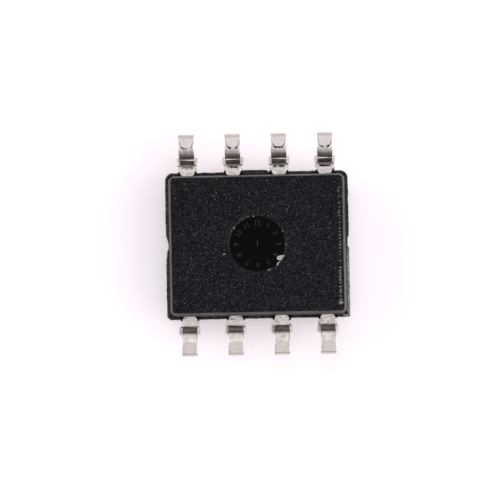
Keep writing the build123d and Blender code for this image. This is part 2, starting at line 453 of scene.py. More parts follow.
def matt_tin(settings):
    """Matt tin, electroplated over copper alloy and then bent in steel tools.

    It looks pale and slightly warm, with a crystalline bloom on the feet, smoother and streaked
    where the tools drew over the bends, with dark tool marks at the toe and the shoulder's bend,
    and painted shade in the foot's U crease and on the riser.
    """
    material, tree = new_material("matt_tin")
    strip = add_node(tree, "Attribute", output="Vector", attribute_name="strip")
    axes = add_node(tree, "SeparateXYZ", {0: strip}).node.outputs
    across = add_node(tree, "Math", {0: axes["X"]}, operation="ABSOLUTE")
    mark = add_node(tree, "Attribute", output="Fac", attribute_name="mark")
    far_row_shade_and_marks = add_node(tree, "Attribute", output="Fac", attribute_name="far_row_shade_and_marks")
    sheared = add_node(tree, "Attribute", output="Fac", attribute_name="sheared")
    # The strip's lengths are in millimetres. Tin grows crystals of about 0.005 mm and the tools
    # draw lines as fine as that: both are drawn coarser, so that they show
    crystals = add_node(tree, "TexNoise", {
        "Vector": strip, "Scale": 1 / 0.045, "Detail": 3.0, "Roughness": 0.75
    }, output="Fac")
    bloom = add_node(tree, "TexNoise", {
        "Vector": strip, "Scale": 1 / 0.17, "Detail": 2.0, "Roughness": 0.5
    }, output="Fac")
    drawn = add_node(tree, "Mapping", {"Vector": strip, "Scale": (1.0, 0.16, 0.16)})
    streaks = add_node(tree, "TexNoise", {
        "Vector": drawn, "Scale": 1 / 0.022, "Detail": 2.0, "Roughness": 0.6
    }, output="Fac")
    # The foot's flat against the bends, and how far the dark lines stray from their places
    foot = add_node(tree, "MapRange", [mark, -0.015, 0.015])
    wander = add_node(tree, "MapRange", [crystals, 0.3, 0.7, -0.024, 0.024])

    def dark_line(distance, offset, width, patches, low, high):
        """A broken dark line of a half width, at an offset from a distance's zero."""
        shifted = add_node(tree, "Math", {0: distance, 1: wander}, operation="ADD")
        moved = add_node(tree, "Math", {0: shifted, 1: -offset}, operation="ADD")
        away = add_node(tree, "Math", {0: moved}, operation="ABSOLUTE")
        line = add_node(tree, "MapRange", [away, width, 0.45 * width])
        broken = add_node(tree, "MapRange", [patches, low, high])
        line = add_node(tree, "Math", {0: line, 1: broken}, operation="MULTIPLY")
        return add_node(tree, "Math", {0: line, 1: far_row_shade_and_marks}, operation="MULTIPLY")

    # Painted shade in the foot's U crease, on the far row only
    arms = add_node(tree, "MapRange", [across, 0.0, 0.17, -0.1, 0.1])
    arm_patches = add_node(tree, "Math", {0: bloom, 1: arms}, operation="ADD")
    crease = dark_line(mark, 0.0, 0.025, arm_patches, 0.38, 0.44)
    # A broken dark line across the strip at the shoulder's bend, on the far row only
    patches = add_node(tree, "TexNoise", {
        "Vector": strip, "Scale": 1 / 0.09, "Detail": 2.0, "Roughness": 0.6
    }, output="Fac")
    inside = add_node(tree, "MapRange", [across, 0.185, 0.15])
    inside_patches = add_node(tree, "Math", {0: patches, 1: inside}, operation="MULTIPLY")
    bend = dark_line(axes["Y"], -0.024, 0.040, inside_patches, 0.43, 0.48)
    crease_shade_and_bend_line = add_node(tree, "Math", {0: crease, 1: bend}, operation="MAXIMUM")
    bright = opaque(settings.tin)
    dull = opaque(settings.tin, 0.76)
    base = add_node(tree, "Mix", {
        0: add_node(tree, "MapRange", [bloom, 0.35, 0.65]), 6: dull, 7: bright
    }, **COLOURS)
    base = add_node(tree, "Mix", {
        0: add_node(tree, "MapRange", [streaks, 0.52, 0.72, 0.0, 0.38]),
        6: base,
        7: opaque(settings.stain_and_shade_colour),
    }, **COLOURS)
    matt_base = add_node(tree, "Mix", {
        0: add_node(tree, "MapRange", [crystals, 0.35, 0.65]), 6: dull, 7: bright
    }, **COLOURS)
    base = add_node(tree, "Mix", {0: foot, 6: base, 7: matt_base}, **COLOURS)
    base = add_node(tree, "Mix", {
        0: add_node(tree, "MapRange", [sheared, 0, 1, 0.0, 0.25]),
        6: base,
        7: opaque(settings.stain_and_shade_colour),
    }, **COLOURS)
    # Bands across the strip: tool marks at the toe and foot, and painted shade in the foot's U crease
    # and on the riser
    shade_and_marks_share = add_node(tree, "Attribute", output="Fac", attribute_name="shade_and_marks")
    base = add_node(tree, "Mix", {
        0: add_node(tree, "MapRange", [shade_and_marks_share, 0.0, 1.0, 0.0, 0.92]),
        6: base,
        7: opaque(settings.stain_and_shade_colour),
    }, **COLOURS)
    base = add_node(
        tree, "Mix", {0: crease_shade_and_bend_line, 6: base, 7: opaque(settings.stain_and_shade_colour)}, output=2, data_type="RGBA"
    )
    roughness = add_node(tree, "MapRange", [streaks, 0.3, 0.7, 0.28, 0.42])
    matt = add_node(tree, "MapRange", [crystals, 0.3, 0.7, 0.4, 0.52])
    roughness = add_node(tree, "Mix", {0: foot, 2: roughness, 3: matt}, data_type="FLOAT")
    bump = add_node(tree, "Bump", {
        "Height": crystals,
        "Strength": add_node(tree, "MapRange", [foot, 0, 1, 0.09, 0.28]),
        "Distance": 0.006 * MM,
    }, output="Normal")
    shader = add_node(tree, "BsdfPrincipled", {
        "Base Color": base, "Metallic": 1.0, "Roughness": roughness, "Normal": bump
    })
    add_node(tree, "OutputMaterial", [shader])
    return material


def rolled_copper():
    """Copper alloy strip, cold rolled, with a spot of silver plated on the paddle.

    It looks salmon pink with fine rolling lines along X, and white where the silver is.
    """
    material, tree = new_material("rolled_copper")
    place = add_node(tree, "TexCoord", output="Object")
    # Rolling lines are about 0.005 mm apart, drawn coarser so that they show
    stretched = add_node(tree, "Mapping", {"Vector": place, "Scale": (0.08, 1.0, 1.0)})
    lines = add_node(tree, "TexNoise", {
        "Vector": stretched, "Scale": per(0.02 * MM), "Detail": 2.0
    }, output="Fac")
    base = add_node(tree, "Mix", {
        0: lines, 6: opaque(linear("b8734f")), 7: opaque(linear("d9976f"))
    }, **COLOURS)
    along = add_node(tree, "SeparateXYZ", {0: place}, output="X")
    reach = add_node(tree, "Math", {0: along}, operation="ABSOLUTE")
    silver = add_node(tree, "MapRange", [reach, 1.24 * MM, 1.2 * MM])
    base = add_node(
        tree, "Mix", {0: silver, 6: base, 7: opaque(linear("dcd8d0"))}, output=2, data_type="RGBA"
    )
    bump = add_node(
        tree, "Bump", {"Height": lines, "Strength": 0.3, "Distance": 0.004 * MM}, output="Normal"
    )
    shader = add_node(tree, "BsdfPrincipled", {
        "Base Color": base,
        "Metallic": 1.0,
        "Roughness": add_node(tree, "MapRange", [lines, 0, 1, 0.25, 0.4]),
        "Normal": bump,
    })
    add_node(tree, "OutputMaterial", [shader])
    return material


def silver_glue():
    """Epoxy filled with silver flake, dispensed and cured: grey and satin, with glints."""
    material, tree = new_material("silver_glue")
    flakes = add_node(tree, "TexVoronoi", {
        "Vector": add_node(tree, "TexCoord", output="Object"), "Scale": per(0.012 * MM)
    }, output="Color")
    share = add_node(tree, "SeparateColor", {"Color": flakes}, output="Red")
    base = add_node(tree, "Mix", {
        0: share, 6: opaque(linear("8d8c88")), 7: opaque(linear("c9c8c4"))
    }, **COLOURS)
    shader = add_node(tree, "BsdfPrincipled", {
        "Base Color": base,
        "Metallic": 0.6,
        "Roughness": add_node(tree, "MapRange", [share, 0, 1, 0.35, 0.6]),
    })
    add_node(tree, "OutputMaterial", [shader])
    return material


def passivated_silicon():
    """Polished silicon under a glassy nitride coat, sawn at its edges.

    It looks blue grey and shiny, with a faint net where the circuit's blocks meet.
    """
    material, tree = new_material("passivated_silicon")
    place = add_node(tree, "TexCoord", output="Object")
    blocks = add_node(tree, "TexVoronoi", {
        "Vector": place, "Scale": per(0.18 * MM), "Randomness": 0.6
    }, distance="CHEBYCHEV")
    share = add_node(tree, "SeparateColor", {"Color": blocks.node.outputs["Color"]}, output="Green")
    base = add_node(tree, "Mix", {
        0: share, 6: opaque(linear("3c4354")), 7: opaque(linear("5d6a6c"))
    }, **COLOURS)
    lanes = add_node(tree, "MapRange", [blocks.node.outputs["Distance"], 0.42, 0.5, 0.0, 0.6])
    base = add_node(
        tree, "Mix", {0: lanes, 6: base, 7: opaque(linear("8f8a78"))}, output=2, data_type="RGBA"
    )
    shader = add_node(tree, "BsdfPrincipled", {
        "Base Color": base,
        "Roughness": add_node(tree, "MapRange", [share, 0, 1, 0.12, 0.25]),
        "IOR": 2.0,
    })
    add_node(tree, "OutputMaterial", [shader])
    return material


def drawn_gold():
    """Gold wire, drawn and annealed: bright yellow with faint lengthwise die lines."""
    material, tree = new_material("drawn_gold")
    # Die lines are finer than 0.001 mm on a 0.025 mm wire, drawn coarser so that they show
    lines = add_node(tree, "TexNoise", {
        "Vector": add_node(tree, "TexCoord", output="Object"),
        "Scale": per(0.01 * MM),
        "Detail": 2.0,
    }, output="Fac")
    base = add_node(tree, "Mix", {
        0: lines, 6: opaque(linear("d9a441")), 7: opaque(linear("f2c766"))
    }, **COLOURS)
    shader = add_node(tree, "BsdfPrincipled", {
        "Base Color": base,
        "Metallic": 1.0,
        "Roughness": add_node(tree, "MapRange", [lines, 0, 1, 0.12, 0.28]),
    })
    add_node(tree, "OutputMaterial", [shader])
    return material


# ---- moulded body -------------------------------------------------------------------------

# The flash round the parting line, corner by corner from lower left
FLASH_CORNERS = (0.13 * MM, 0.03 * MM, 0.22 * MM, 0.20 * MM)
# It bulges between leads 2 and 3: from, to, and how far
TONGUE = (-0.42 * MM, 0.27 * MM, 0.055 * MM)
# It is broken away at the tie bars: side, then along Y where the break starts, is whole, ends
# with a step and fades out, and how much is gone
NOTCHES = (
    (-1, 0.36 * MM, 0.05 * MM, -0.08 * MM, -0.42 * MM, 0.85),
    (1, 0.22 * MM, 0.18 * MM, -0.07 * MM, -0.10 * MM, 0.45),
)
LEDGE_INSET = 0.010 * MM
# Tool marks along the underside's right edge, larger towards -Y
SCUFF_LINE = 2.265 * MM
SCUFF_SPACING = 0.088 * MM
SCUFFS = [
    (
        SCUFF_LINE + 0.018 * MM * rough((i, 0, 0), 2.3),
        1.70 * MM - SCUFF_SPACING * (i + 0.35 * rough((i, 4, 0), 1.9)),
        (0.015 + 0.006 * rough((i, 8, 0), 1.3) + 0.008 * (i > 26) + 0.022 * (i == 38)) * MM,
    )
    for i in range(39)
]
# Shards broken out of the rim of the ejector mark, as outlines in millimetres
RIM_SHARDS = (
    ((0.53, -0.36), (0.60, -0.33), (0.735, -0.315), (0.70, -0.40), (0.64, -0.455), (0.545, -0.44)),
    ((0.52, -0.575), (0.545, -0.53), (0.60, -0.485), (0.62, -0.49), (0.575, -0.56), (0.53, -0.60)),
    ((0.27, -0.715), (0.33, -0.70), (0.39, -0.685), (0.34, -0.725), (0.28, -0.73)),
    ((-0.945, -0.26), (-0.92, -0.235), (-0.895, -0.25), (-0.90, -0.275), (-0.93, -0.285)),
    ((-0.65, 0.45), (-0.63, 0.475), (-0.61, 0.46), (-0.625, 0.43)),
    ((-0.11, 0.765), (-0.085, 0.785), (-0.07, 0.76), (-0.09, 0.745)),
    ((0.765, -0.01), (0.785, 0.0), (0.795, -0.03), (0.775, -0.04)),
    ((0.69, 0.35), (0.71, 0.36), (0.715, 0.335), (0.70, 0.325)),
)


def wall_offset(settings, z):
    """How far the drafted wall stands from its place at the parting line, at height z."""
    ledge_top = LEAD_BOTTOM + bpy.context.scene.package.leads.thickness
    rise = max(z - ledge_top, LEAD_BOTTOM - z, 0.0)
    return -rise * tan(settings.draft)


def edge_profile(settings, face, inwards):
    """(offset, z) points round the edge of a face, from the face to the wall. `inwards` is the
    direction into the body, -1 from the underside and 1 from the marked face."""
    radius = settings.edge_radius
    middle = face + inwards * radius
    centre = wall_offset(settings, middle) - radius / cos(settings.draft)
    steps = 4
    points = []
    for i in range(steps + 1):
        bend = (pi / 2 - settings.draft) * i / steps
        points.append((centre + radius * sin(bend), middle - inwards * radius * cos(bend)))
    return points


def flash_width(point):
    """Width of the flash at a place on its outline: torn, bulging and broken away in places."""
    x, y = point
    width = FLASH_WIDTH * (0.96 + 0.10 * rough((x, y, 0), 0.21 * MM, 3.1))
    width += FLASH_WIDTH * 0.12 * rough((x, y, 0), 0.055 * MM, 7.7)
    if y > HALF_WIDTH - FLASH_WIDTH:
        start, end, bulge = TONGUE
        ramp = 0.03 * MM
        width += bulge * smooth_step(x, start - ramp, start) * (1 - smooth_step(x, end, end + 3 * ramp))
    for side, start, whole, step, end, share in NOTCHES:
        if side * x > HALF_LENGTH - FLASH_WIDTH:
            inside = smooth_step(-y, -start, -whole) * (1 - smooth_step(-y, -step, 0.02 * MM - step) / 2)
            width *= 1 - share * inside * (1 - smooth_step(-y, -step, -end))
    return min(width, BODY_HIGH[0] - HALF_LENGTH + 0.05 * MM)


def body_shell(settings):
    """The whole outside of the moulded body, from the underside's middle to the marked face's."""
    thickness = bpy.context.scene.package.leads.thickness
    columns = 2 * round(HALF_LENGTH / settings.cell)
    rows = 2 * round(HALF_WIDTH / settings.cell)
    steps = (columns, rows)
    bevel_line = HALF_WIDTH + wall_offset(settings, 0) - settings.bevel

    def bevelled(x, y, z):
        return (x, min(y, bevel_line + z), z)

    def wall_loop(offset, z):
        radii = [max(settings.corner_radius + offset, 0.02 * MM)] * 4
        half = (HALF_LENGTH + offset, HALF_WIDTH + offset)
        return [bevelled(p.x, p.y, z) for p in outline(half, radii, steps)]

    parting = outline((HALF_LENGTH, HALF_WIDTH), [settings.corner_radius] * 4, steps)
    half = (HALF_LENGTH + FLASH_WIDTH, HALF_WIDTH + FLASH_WIDTH)
    torn = [
        inner + (outer - inner) * flash_width(inner) / FLASH_WIDTH
        for inner, outer in zip(parting, outline(half, FLASH_CORNERS, steps))
    ]

    def flash_loop(share, z):
        """The flash at a share of its width; its faces are uneven towards its torn edge."""
        return [
            (p.x, p.y, z + share * 0.012 * MM * rough((p.x, p.y, z), 0.12 * MM, 1.3))
            for p in (inner.lerp(outer, share) for inner, outer in zip(parting, torn))
        ]

    ledge_top = LEAD_BOTTOM + thickness - LEDGE_INSET
    ledge_bottom = LEAD_BOTTOM + LEDGE_INSET
    upper_edge = edge_profile(settings, UNDERSIDE, -1)
    lower_edge = edge_profile(settings, 0.0, 1)[::-1]
    wall_rows = 15

    def wall_between(high, low):
        """Loops down a wall, ends left out."""
        heights = [high + (low - high) * i / wall_rows for i in range(1, wall_rows)]
        return [wall_loop(wall_offset(settings, z), z) for z in heights]

    loops = [wall_loop(offset, z) for offset, z in upper_edge[1:]]
    loops += wall_between(upper_edge[-1][1], ledge_top)
    loops += [flash_loop(share, ledge_top) for share in (0.0, 0.33, 0.66, 0.90)]
    middle = (ledge_top + ledge_bottom) / 2
    for share, height in ((0.985, 0.86), (1.0, 0.5), (1.0, 0.0), (0.99, -0.5), (0.975, -0.86)):
        loops.append(flash_loop(share, middle + height * (ledge_top - middle)))
    loops += [flash_loop(share, ledge_bottom) for share in (0.88, 0.60, 0.30, 0.0)]
    loops += wall_between(ledge_bottom, lower_edge[0][1])
    loops += [wall_loop(offset, z) for offset, z in lower_edge]

    shell = Shell()
    rim = shell.loop(wall_loop(*upper_edge[0]))
    marked = shell.skin(rim, loops)
    shell.cap(marked, columns, rows)

    # The underside is a net with a square left out, from which rings run in to the ejector mark
    net = shell.grid(rim, columns, rows)
    reach = round(1.16 * settings.mark_radius / settings.cell)
    across = range(columns // 2 - reach, columns // 2 + reach)
    along = range(rows // 2 - reach, rows // 2 + reach)
    shell.fill(net, (across, along))
    square = [net[along.start][c] for c in across]
    square += [net[r][across.stop] for r in along]
    square += [net[along.stop][c] for c in reversed([*across, across.stop][1:])]
    square += [net[r][across.start] for r in reversed([*along, along.stop][1:])]
    corners = [shell.points[i].copy() for i in square]

    def ring(radius, z, uneven=0.0):
        points = []
        for corner in corners:
            turn = atan2(corner.y, corner.x)
            edge = radius + uneven * rough((corner.x, corner.y, 0), 0.10 * MM, 5.5)
            points.append((edge * cos(turn), edge * sin(turn), z))
        return points

    outer = ring(settings.mark_radius + 0.045 * MM, UNDERSIDE)
    rings = [
        [corner.lerp(Vector(point), share) for corner, point in zip(corners, outer)]
        for share in (0.4, 0.75, 1.0)
    ]
    lip = 0.005 * MM
    depth = settings.mark_depth
    torn_edge = 0.010 * MM
    rings += [
        ring(settings.mark_radius + 0.022 * MM, UNDERSIDE + lip, torn_edge),
        ring(settings.mark_radius + 0.006 * MM, UNDERSIDE + lip, torn_edge),
        ring(settings.mark_radius, UNDERSIDE - 0.2 * depth, torn_edge),
        ring(settings.mark_radius - 0.006 * MM, UNDERSIDE - 0.85 * depth, torn_edge),
        ring(settings.mark_radius - 0.018 * MM, UNDERSIDE - depth),
        ring(settings.mark_radius - 0.060 * MM, UNDERSIDE - depth),
    ]
    floor = shell.skin(square, rings)
    shell.cap(floor, 2 * reach, 2 * reach)
    return shell


def in_ejector_mark(settings, point):
    """1 on the floor of the ejector pin's mark, 0 outside it."""
    distance = (point.x**2 + point.y**2) ** 0.5
    inside = distance < settings.mark_radius - 0.004 * MM
    return 1.0 if inside and point.z > UNDERSIDE / 2 else 0.0


def scuffed(point):
    """How strongly the tool's marks show at a point of the underside, 0 to 1."""
    depth = 0.0
    if point.z > UNDERSIDE - 0.02 * MM and point.x > SCUFF_LINE - 0.1 * MM:
        for x, y, radius in SCUFFS:
            distance = ((point.x - x) ** 2 + 2 * (point.y - y) ** 2) ** 0.5
            depth = max(depth, 1 - smooth_step(distance, 0.4 * radius, 1.8 * radius))
    return depth


def broken_ledge(point):
    """How pale the flash is where it tore, most along the right side."""
    on_ledge = LEAD_BOTTOM < point.z < LEAD_BOTTOM + 0.3 * MM
    outside = max(abs(point.x) - HALF_LENGTH, abs(point.y) - HALF_WIDTH)
    if not on_ledge or outside < 0.01 * MM:
        return 0.0
    lower = 1 - smooth_step(point.y, -0.45 * MM, 0.05 * MM)
    right = smooth_step(point.x, 2.3 * MM, 2.45 * MM) * lower
    left = smooth_step(-point.x, 2.3 * MM, 2.45 * MM) * 0.25
    return (0.12 + 1.20 * right + 0.5 * left) * (0.7 + 0.6 * rough(point, 0.06 * MM, 12.0))


def painted_wall_light(point):
    """How much painted light the drafted walls over the flash get, most on the right side towards -Y."""
    over_flash = LEAD_BOTTOM + 0.22 * MM
    if not over_flash < point.z < UNDERSIDE - 0.03 * MM:
        return 0.0
    edge = 1 - smooth_step(abs(point.z - (over_flash + UNDERSIDE) / 2), 0.16 * MM, 0.27 * MM)
    share = 0.14 if abs(point.y) > HALF_WIDTH - 0.12 * MM else 0.17
    if point.x > HALF_LENGTH - 0.12 * MM:
        share += 0.22 * (1 - smooth_step(point.y, -1.4 * MM, 0.6 * MM))
    return share * edge * (0.85 + 0.5 * rough(point, 0.07 * MM, 17.0))


def painted_rim_highlight(settings, point):
    """How strong the painted highlight along the ejector mark's lip is, most at its upper left and
    right.
    """
    distance = (point.x**2 + point.y**2) ** 0.5
    if point.z < UNDERSIDE / 2 or abs(distance - settings.mark_radius - 0.010 * MM) > 0.014 * MM:
        return 0.0
    turn = atan2(point.y, point.x)
    upper_left = smooth_step(cos(turn - radians(140)), 0.60, 0.95)
    right = smooth_step(cos(turn + radians(15)), 0.75, 0.98)
    return (0.20 * upper_left + 0.10 * right) * (0.6 + rough(point, 0.12 * MM, 14.0))


def make_body(settings):
    """The body with its grain, tool marks and dimple, where it is polished or pale, and its painted
    highlights.
    """
    mesh = body_shell(settings).mesh("moulded_body")
    polish = []
    pale = []
    dimple = Vector(
        (
            0.45 * MM - HALF_LENGTH - wall_offset(settings, 0),
            HALF_WIDTH + wall_offset(settings, 0) - settings.bevel - 0.45 * MM,
            0,
        )
    )
    normals = [v.normal.copy() for v in mesh.vertices]
    for vertex, normal in zip(mesh.vertices, normals):
        point = vertex.co.copy()
        smooth = in_ejector_mark(settings, point)
        scuff = scuffed(point)
        relief = rough(point, 0.05 * MM, 2.0) + 0.6 * rough(point, 0.023 * MM, 4.0)
        vertex.co += normal * settings.grain * relief * (1 - smooth)
        vertex.co -= normal * 0.012 * MM * scuff
        if point.z < 0.5 * settings.edge_radius:
            inside = 1 - smooth_step(
                (point - dimple).length,
                settings.dimple_radius - 0.02 * MM,
                settings.dimple_radius + 0.01 * MM,
            )
            vertex.co.z = max(vertex.co.z, 0.0) + inside * settings.dimple_depth
        polish.append(smooth)
        # Pale share: tool marks and torn flash, with a painted highlight on the ejector mark's lip and
        # painted light on the drafted walls
        worn = max(painted_rim_highlight(settings, point), broken_ledge(point), painted_wall_light(point))
        pale.append(min(max(scuff, worn), 1.0))
    point_values(mesh, "polish", polish)
    point_values(mesh, "pale", pale)
    piece = add_piece("moulded_body", mesh, moulded_epoxy(settings))
    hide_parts("mould_body")
    return piece


def make_figures(settings):
    """Plain numbers from 1 to 12 in a ring on the ejector mark's floor, and one in its middle."""
    floor = UNDERSIDE - settings.mark_depth
    height = 0.008 * MM
    places = [(str(n), 0.58 * MM, radians(90 - 30 * n), 0.20 * MM) for n in range(1, 13)]
    places.append(("1", 0.0, pi / 2, 0.25 * MM))
    work = bmesh.new()
    for text, radius, turn, size in places:
        curve = bpy.data.curves.new("figure", "FONT")
        curve.body = text
        curve.size = size
        curve.align_x = "CENTER"
        curve.align_y = "CENTER"
        curve.extrude = height / 2
        curve.bevel_depth = 0.004 * MM
        curve.bevel_resolution = 1
        curve.offset = -0.004 * MM
        curve.resolution_u = 4
        holder = bpy.data.objects.new("figure", curve)
        mesh = bpy.data.meshes.new_from_object(holder)
        spot = Matrix.Translation((radius * cos(turn), radius * sin(turn), floor))
        mesh.transform(spot @ Matrix.Rotation(turn - pi / 2, 4, "Z"))
        work.from_mesh(mesh)
        bpy.data.objects.remove(holder)
        bpy.data.curves.remove(curve)
        bpy.data.meshes.remove(mesh)
    bmesh.ops.remove_doubles(work, verts=work.verts, dist=0.0002 * MM)
    bmesh.ops.recalc_face_normals(work, faces=work.faces)
    figures = bpy.data.meshes.new("ejector_mark_figures")
    work.to_mesh(figures)
    work.free()
    return add_piece("ejector_mark_figures", figures, polished_epoxy())


def broken_epoxy():
    """The compound where it broke, through its resin and its silica grains.

    It looks pale grey, rough and faceted beside the black skin.
    """
    material, tree = new_material("broken_epoxy")
    place = add_node(tree, "TexCoord", output="Object")
    cloud = add_node(tree, "TexNoise", {
        "Vector": place, "Scale": per(0.05 * MM), "Detail": 3.0, "Roughness": 0.7
    }, output="Fac")
    base = add_node(tree, "Mix", {
        0: add_node(tree, "MapRange", [cloud, 0.35, 0.65]),
        6: opaque(linear("8f8885")),
        7: opaque(linear("dad3d0")),
    }, **COLOURS)
    bump = add_node(
        tree, "Bump", {"Height": cloud, "Strength": 0.8, "Distance": 0.01 * MM}, output="Normal"
    )
    shader = add_node(tree, "BsdfPrincipled", {
        "Base Color": base,
        "Roughness": add_node(tree, "MapRange", [cloud, 0, 1, 0.5, 0.8]),
        "Normal": bump,
    })
    add_node(tree, "OutputMaterial", [shader])
    return material


def make_shards(settings):
    """Faceted breaks in the rim of the ejector mark, and one loose crumb of filler."""
    work = bmesh.new()
    for plan in RIM_SHARDS:
        centre = Vector((sum(x for x, _ in plan), sum(y for _, y in plan))) / len(plan)
        top, bottom = [], []
        for x, y in plan:
            lift = 0.004 + 0.012 * rough((x, y, 0), 0.05, 2.0)
            top.append(work.verts.new((x * MM, y * MM, UNDERSIDE + lift * MM)))
            bottom.append(work.verts.new((x * MM, y * MM, UNDERSIDE - settings.mark_depth)))
        peak = work.verts.new((centre.x * MM, centre.y * MM, UNDERSIDE + 0.012 * MM))
        for i in range(len(plan)):
            j = (i + 1) % len(plan)
            work.faces.new((top[i], top[j], peak))
            work.faces.new((bottom[i], bottom[j], top[j], top[i]))
        work.faces.new(bottom[::-1])
    bmesh.ops.recalc_face_normals(work, faces=work.faces)
    bmesh.ops.triangulate(work, faces=work.faces)
    bmesh.ops.subdivide_edges(work, edges=work.edges[:], cuts=2, use_grid_fill=True)
    for vertex in work.verts:
        vertex.co.z += 0.003 * MM * rough(vertex.co, 0.04 * MM, 6.0)
    mesh = bpy.data.meshes.new("rim_shards")
    work.to_mesh(mesh)
    work.free()
    return add_piece("rim_shards", mesh, broken_epoxy(), sharp=20)


# ---- leads --------------------------------------------------------------------------------


class StripPath:
    """The middle line of a bent lead: out of the body, up the riser and along the foot."""

    def __init__(self, settings, start):
        bend, heel = settings.bend_radius, settings.heel_radius
        turn = pi / 2 - settings.lean
        rise = BOARD_PLANE - LEAD_BOTTOM - settings.thickness
        riser = (rise - (bend + heel) * (1 - cos(turn))) / sin(turn)
        self.start = Vector((start, LEAD_BOTTOM + settings.thickness / 2))
        straight = HALF_WIDTH + settings.shoulder - start
        self.runs = [(straight, 0.0), (bend * turn, turn), (riser, 0.0), (heel * turn, -turn)]
        self.shoulder_end = straight
        self.riser_start = straight + bend * turn
        self.foot_start = sum(run for run, _ in self.runs)
        foot = TOE - self.at(self.foot_start)[0].x
        self.runs.append((foot, 0.0))
        self.length = self.foot_start + foot

    def at(self, distance):
        """((outwards, up), slope) at a distance along the strip."""
        place = self.start.copy()
        slope = 0.0
        for run, turn in self.runs:
            part = min(distance, run)
            if turn:
                radius = run / abs(turn)
                end = slope + turn * part / run
                side = 1 if turn > 0 else -1
                place += side * radius * Vector((sin(end) - sin(slope), cos(slope) - cos(end)))
                slope = end
            else:
                place += part * Vector((cos(slope), sin(slope)))
            distance -= part
            if distance <= 0:
                break
        return place, slope


def stub_run(path, side, seed):
    """Where along the strip one stub of the dam bar starts and ends."""
    start = path.shoulder_end - 0.090 * MM + 0.014 * MM * rough((side, seed, 0), 1.7)
    end = path.riser_start + 0.01 * MM + 0.03 * MM * rough((side, seed, 5), 1.7)
    return start, end


def lead_edges(settings, path, distance, outwards, seed):
    """The strip's two edges across its width, at a distance along it."""
    half = settings.width / 2
    edges = [-half, half]
    if outwards:
        if distance < HALF_WIDTH - settings.pad_start - PAD_END:
            edges[0 if outwards > 0 else 1] = outwards * (half - settings.pad_width)
    elif distance < settings.finger_length:
        edges = [-settings.finger_width / 2, settings.finger_width / 2]
    stub = (settings.dam_width - settings.width) / 2
    for i, side in enumerate((-1, 1)):
        start, end = stub_run(path, side, seed)
        if start < distance < end:
            torn = stub * (1 + 0.22 * rough((side, seed, distance / (0.035 * MM)), 1.0))
            torn += 0.020 * MM * smooth_step(distance, end - 0.04 * MM, end)
            edges[i] += side * torn
    return edges


def stations(settings, path, outwards, seed):
    """Distances along the strip at which it gets a loop, in pairs where its width jumps."""
    hidden = HALF_WIDTH - path.start.x
    marks = [hidden * i / 24 for i in range(24)]
    count = round((path.length - hidden) / settings.cell)
    marks += [hidden + (path.length - hidden) * i / count for i in range(count + 1)]
    if outwards:
        jumps = [HALF_WIDTH - settings.pad_start - PAD_END]
    else:
        jumps = [settings.finger_length]
    for side in (-1, 1):
        jumps += stub_run(path, side, seed)
    jumps.append(tool_shelf(path))
    gap = 0.0015 * MM
    marks = [m for m in marks if all(abs(m - jump) > 2 * gap for jump in jumps)]
    return sorted(marks + [jump + side * gap for jump in jumps for side in (-1, 1)])


def foot_edge(settings, across, far):
    """How far beyond the heel the foot's flat starts: a U that runs up both of its sides."""
    share = abs(across) / (0.42 * settings.width)
    if far:
        return -0.035 * MM + 0.165 * MM * share**5
    return 0.110 * MM * share**2.5


def tool_shelf(path):
    """Where the forming tool's edge left a shelf, low on the heel."""
    return path.riser_start + 0.50 * MM


def relief(settings, path, across, distance, far, seed):
    """How far the tools and the plating moved the visible surface out of flat."""
    wander = 0.022 * MM * rough((across, 0.4 * distance, seed * MM), 0.06 * MM, 2.0)
    after = distance - path.shoulder_end + wander
    moved = 0.0025 * MM * rough((across + seed * MM, distance, 0), 0.13 * MM, 9.0)
    shoulder = 1 - smooth_step(distance, path.shoulder_end, path.riser_start)
    moved += 0.006 * MM * shoulder * rough((across, distance, seed * MM), 0.07 * MM, 6.0)
    if far:
        beyond = distance - path.foot_start - foot_edge(settings, across, far)
        moved -= 0.004 * MM * hump(beyond, 0.012 * MM)
        middle = 1 - smooth_step(abs(across), 0.13 * MM, 0.19 * MM)
        moved -= 0.008 * MM * middle * hump(after + 0.024 * MM, 0.016 * MM)
        moved += 0.012 * MM * hump(after - 0.060 * MM, 0.020 * MM)
        shelf = tool_shelf(path)
        worn = 0.022 * MM * smooth_step(distance, path.riser_start + 0.25 * MM, shelf)
        tilt = 0.35 + 0.65 * smooth_step(across * (1 if seed % 2 else -1), -0.2 * MM, 0.15 * MM)
        moved += worn * tilt if distance < shelf else 0.0
    else:
        layers = rough((0.3 * across, distance, seed * MM), 0.045 * MM, 3.0)
        moved += 0.008 * MM * shoulder * layers
    return moved


